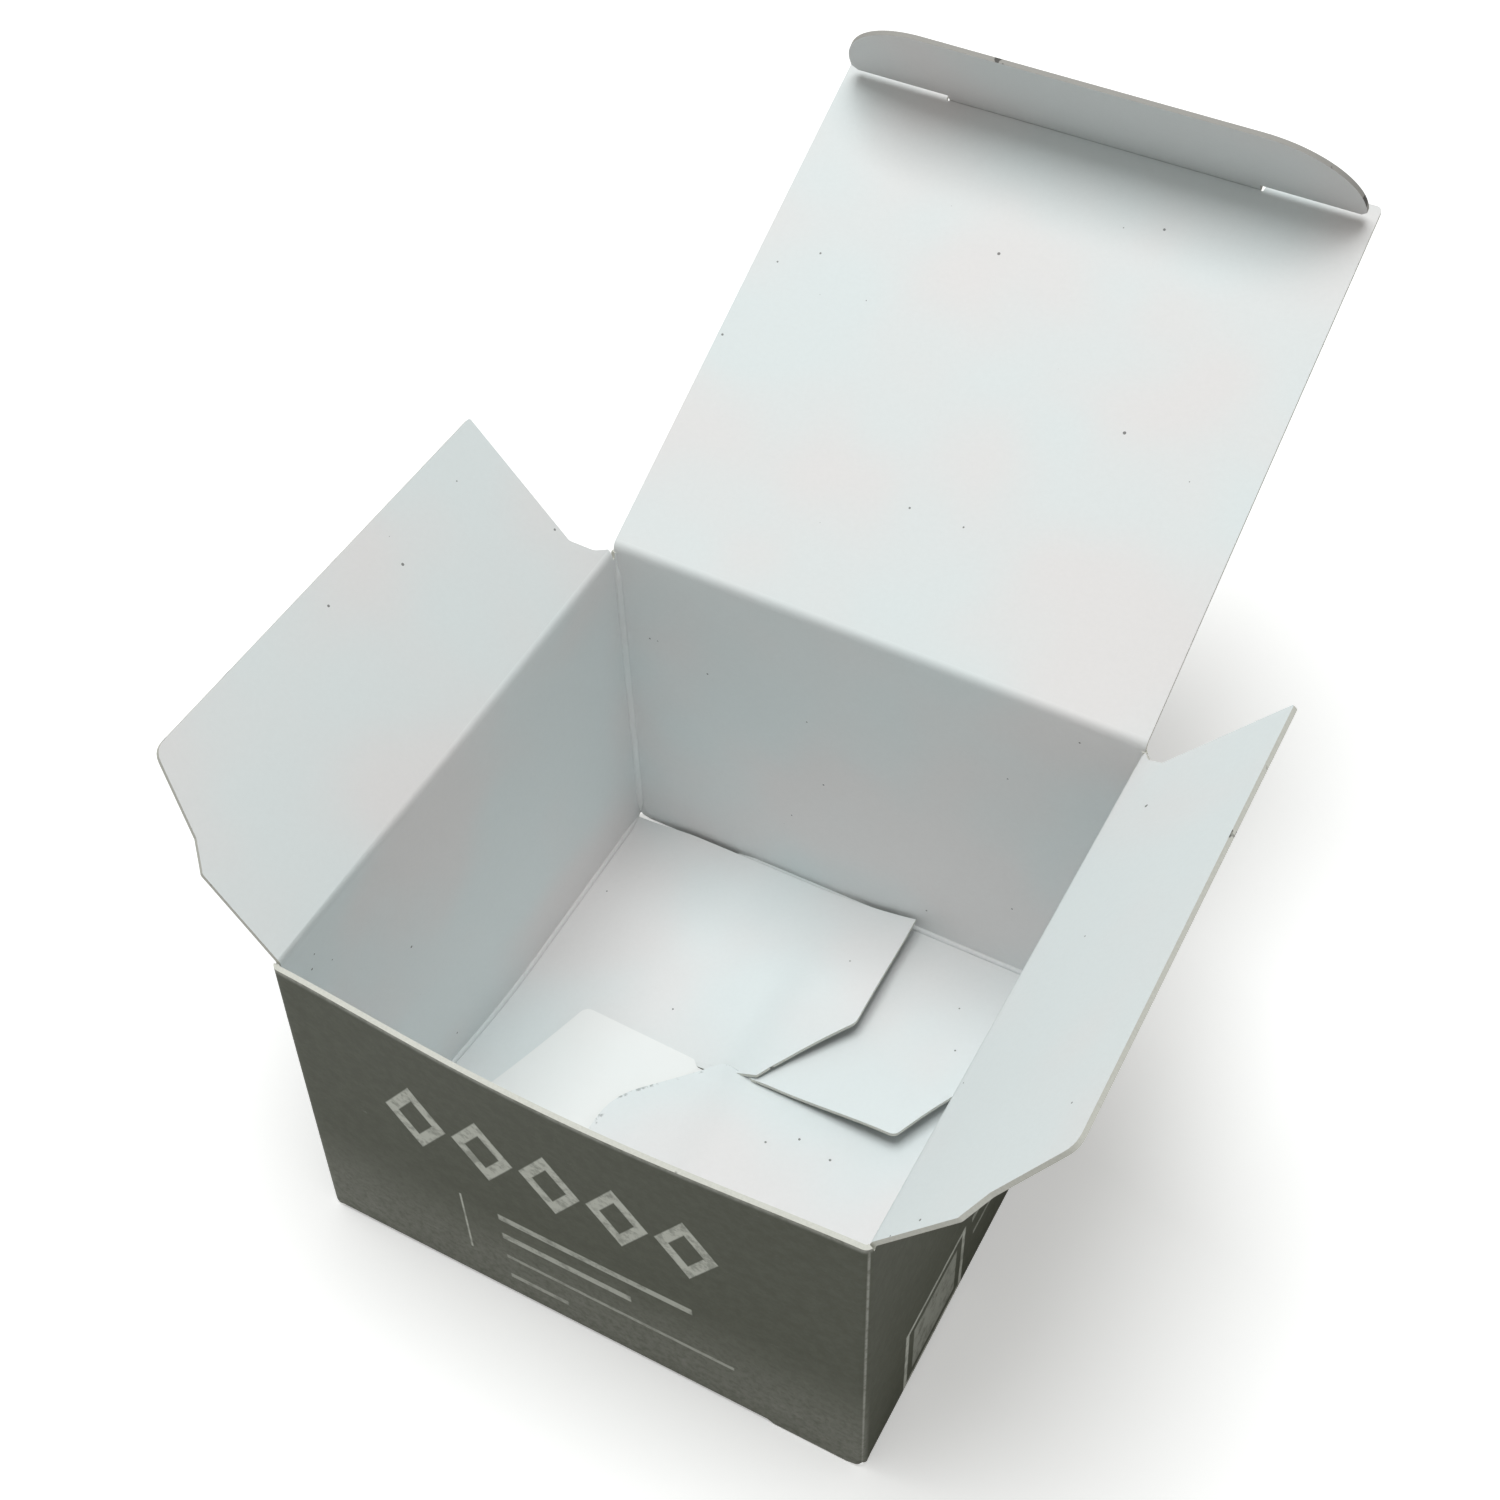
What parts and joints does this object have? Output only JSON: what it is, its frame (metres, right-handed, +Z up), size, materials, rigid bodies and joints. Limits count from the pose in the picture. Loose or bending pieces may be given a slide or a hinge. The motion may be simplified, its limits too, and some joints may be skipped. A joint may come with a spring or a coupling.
{
  "type": "folding carton",
  "caption": "Small square folding carton standing open, with a hinged lid and its tuck flap, dust flaps at the sides and an interlaced folded bottom.",
  "frame": {"origin": "centre of the bottom, on the surface that the carton stands on", "axes": "+X to the right, +Y to the back and +Z up, seen from the wall opposite the lid's hinge"},
  "size_m": [0.0774, 0.0994, 0.0705],
  "materials": {
    "printed_board": "white card, matt print outside, plain inside",
    "lid_board": "white card, plain inside, matt print outside",
    "flap_board": "white card, plain inside, matt print outside"
  },
  "bodies": {
    "carton": {"carton_body": "printed_board"},
    "lid": {"lid_panel": "lid_board"},
    "tuck": {"tuck_flap": "flap_board"},
    "dust_left": {"dust_flap_left": "flap_board"},
    "dust_right": {"dust_flap_right": "flap_board"}
  },
  "joints": [
    {"name": "lid_hinge", "type": "hinge", "parent": "carton", "child": "lid", "pos_m": [0, 0.026, 0.0392], "axis": [1, 0, 0], "range_deg": [-25, 155]},
    {"name": "tuck_hinge", "type": "hinge", "parent": "lid", "child": "tuck", "pos_m": [0, 0.07245, 0.06086], "axis": [-1, 0, 0], "range_deg": [0, 96]},
    {"name": "dust_left_hinge", "type": "hinge", "parent": "carton", "child": "dust_left", "pos_m": [-0.026, 0, 0.03855], "axis": [0, 1, 0], "range_deg": [-36, 138.3]},
    {"name": "dust_right_hinge", "type": "hinge", "parent": "carton", "child": "dust_right", "pos_m": [0.026, 0, 0.03855], "axis": [0, -1, 0], "range_deg": [-44, 130.4]}
  ]
}
